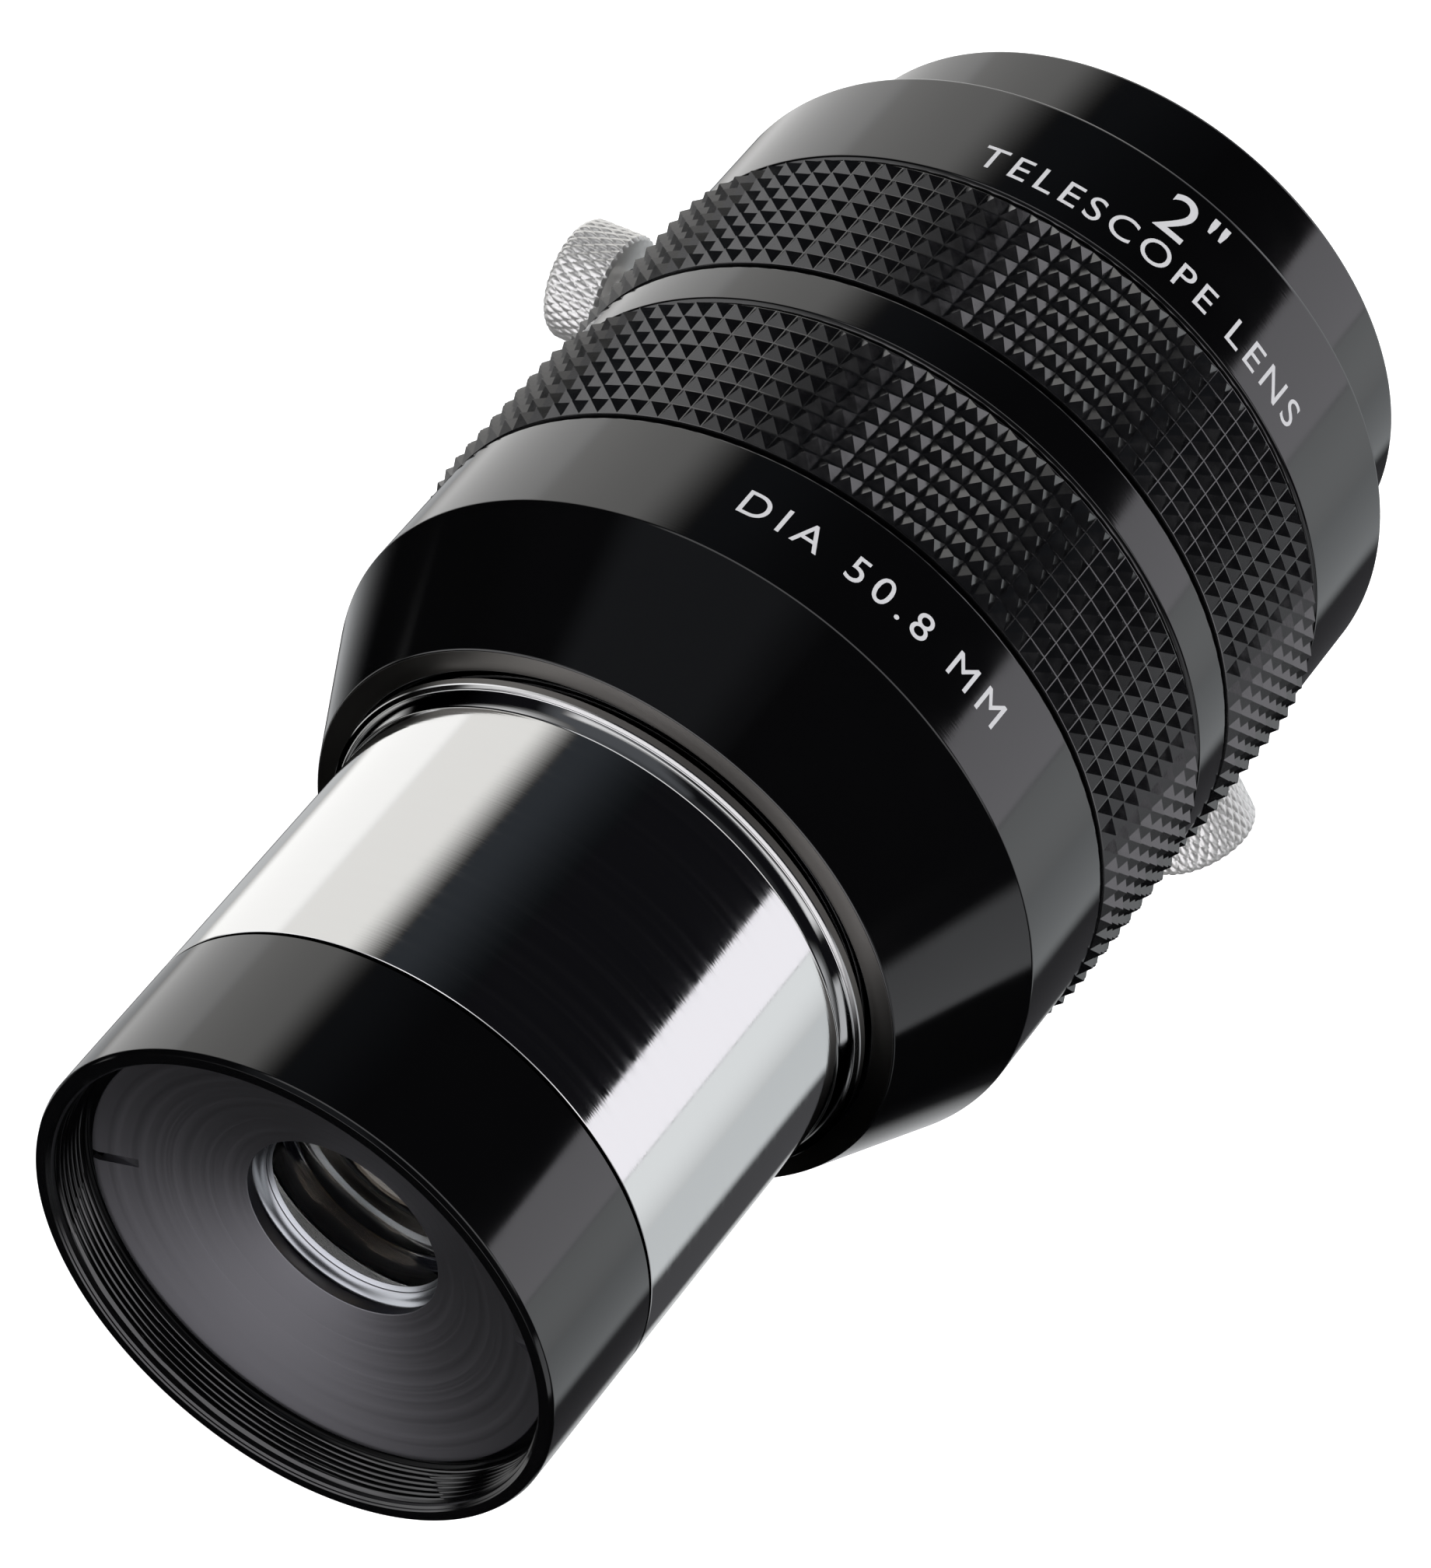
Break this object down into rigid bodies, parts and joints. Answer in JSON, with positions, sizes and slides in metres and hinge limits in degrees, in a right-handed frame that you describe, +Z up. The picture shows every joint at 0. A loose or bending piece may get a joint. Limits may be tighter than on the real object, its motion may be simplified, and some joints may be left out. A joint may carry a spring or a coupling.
{
  "type": "barlow lens",
  "caption": "Telecentric barlow lens barrel with a plated nosepiece, a conical shoulder, knurled grip rings and an eyepiece socket clamped by thumbscrews.",
  "frame": {"origin": "on the ground under the middle of the barrel, which lies on its two grip rings", "axes": "+Y along the optical axis from the nose to the eyepiece socket, +Z up through the engraved side, +X across"},
  "size_m": [0.0846, 0.1386, 0.072],
  "materials": {
    "black_anodised": "gloss black anodised, fine turned lines",
    "matt_black": "matt black anodised against glare",
    "chrome": "bright plated with fine turned lines",
    "stainless": "knurled bright stainless steel",
    "brass": "bare turned brass",
    "rubber": "satin black rubber with moulded pyramids",
    "glass": "coated optical glass"
  },
  "bodies": {
    "barrel": {"nose_ring": "black_anodised", "front_baffle": "matt_black", "front_lens_retainer": "matt_black", "front_crown_lens": "glass", "front_flint_lens": "glass", "front_lens_cell": "matt_black", "nosepiece_tube": "chrome", "nose_glare_ring": "matt_black", "front_barrel": "black_anodised", "front_grip_ring": "rubber", "middle_barrel": "black_anodised", "rear_grip_ring": "rubber", "rear_lens_cell": "matt_black", "rear_crown_lens": "glass", "rear_flint_lens": "glass", "rear_lens_retainer": "matt_black", "socket_stop_ring": "matt_black", "eyepiece_collar": "black_anodised", "compression_ring": "brass", "rear_cap_ring": "black_anodised"},
    "left_stud": {"thumbscrew_left_stud": "stainless"},
    "left_head": {"thumbscrew_left_head": "stainless"},
    "right_stud": {"thumbscrew_right_stud": "stainless"},
    "right_head": {"thumbscrew_right_head": "stainless"}
  },
  "joints": [
    {"name": "left_screw_travel", "type": "slide", "parent": "barrel", "child": "left_stud", "axis": [-0.866, 0, -0.5], "range_m": [-0.0004, 0.0024]},
    {"name": "left_screw_turn", "type": "hinge", "parent": "left_stud", "child": "left_head", "pos_m": [0, 0.04925, 0.03601], "axis": [-0.866, 0, -0.5], "range_deg": [-180, 1080]},
    {"name": "right_screw_travel", "type": "slide", "parent": "barrel", "child": "right_stud", "axis": [0.866, 0, -0.5], "range_m": [-0.0004, 0.0024]},
    {"name": "right_screw_turn", "type": "hinge", "parent": "right_stud", "child": "right_head", "pos_m": [0, 0.04925, 0.03601], "axis": [0.866, 0, -0.5], "range_deg": [-180, 1080]}
  ],
  "couplings": [
    {"joint": "left_screw_turn", "follows": "left_screw_travel", "rad_per_m": 7854},
    {"joint": "right_screw_turn", "follows": "right_screw_travel", "rad_per_m": 7854}
  ]
}
